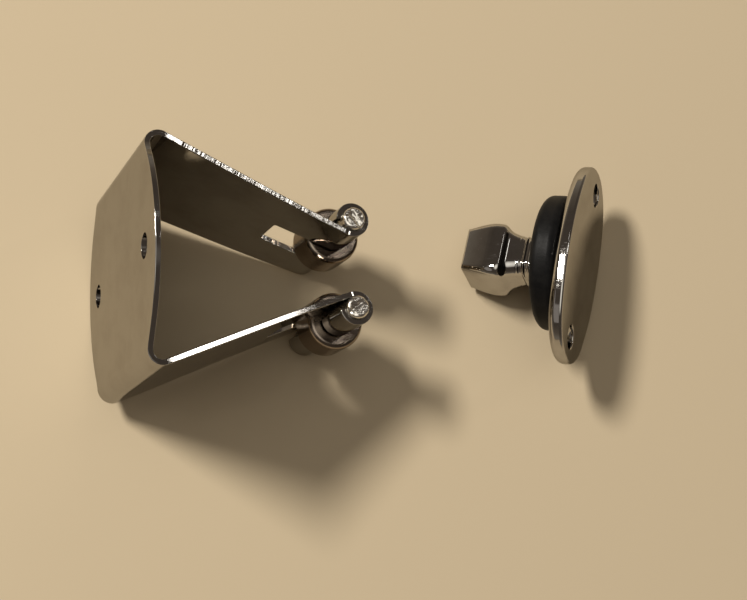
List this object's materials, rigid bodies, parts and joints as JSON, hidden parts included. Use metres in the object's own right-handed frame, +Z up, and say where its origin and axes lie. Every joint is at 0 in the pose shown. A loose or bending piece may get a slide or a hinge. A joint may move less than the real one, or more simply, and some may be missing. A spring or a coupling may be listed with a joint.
{
  "type": "door holder",
  "caption": "Roller door holder: a folded spring clip with rollers in its curled tips, and a spear-headed strike on an oval plate with a rubber bumper ring.",
  "frame": {"origin": "middle of the part's footprint, on the floor that both halves lie on", "axes": "+X from the base of the clip through its mouth towards the strike, +Y from the lower arm to the upper arm in the picture, +Z up from the floor"},
  "size_m": [0.0806, 0.0332, 0.04],
  "materials": {
    "clip_chrome": "polished chrome plate on spring steel strip",
    "pin_steel": "bright pin with peened ends",
    "roller_chrome": "polished chrome plate",
    "strike_chrome": "polished chrome plate on a casting",
    "bumper_rubber": "satin black"
  },
  "bodies": {
    "clip": {"spring_clip": "clip_chrome", "upper_roller_pin": "pin_steel", "lower_roller_pin": "pin_steel"},
    "upper_wheel": {"upper_roller": "roller_chrome"},
    "lower_wheel": {"lower_roller": "roller_chrome"},
    "strike_half": {"strike": "strike_chrome", "rubber_bumper": "bumper_rubber"}
  },
  "joints": [
    {"name": "upper_roller_spin", "type": "hinge", "parent": "clip", "child": "upper_wheel", "pos_m": [-0.00482, 0.00579, 0.01154], "axis": [0.277, 0, 0.9609], "continuous": true},
    {"name": "lower_roller_spin", "type": "hinge", "parent": "clip", "child": "lower_wheel", "pos_m": [-0.00482, -0.00705, 0.01154], "axis": [0.277, 0, 0.9609], "continuous": true},
    {"name": "strike_draw", "type": "slide", "parent": "clip", "child": "strike_half", "axis": [1, 0, 0], "range_m": [-0.012, 0.06]}
  ]
}
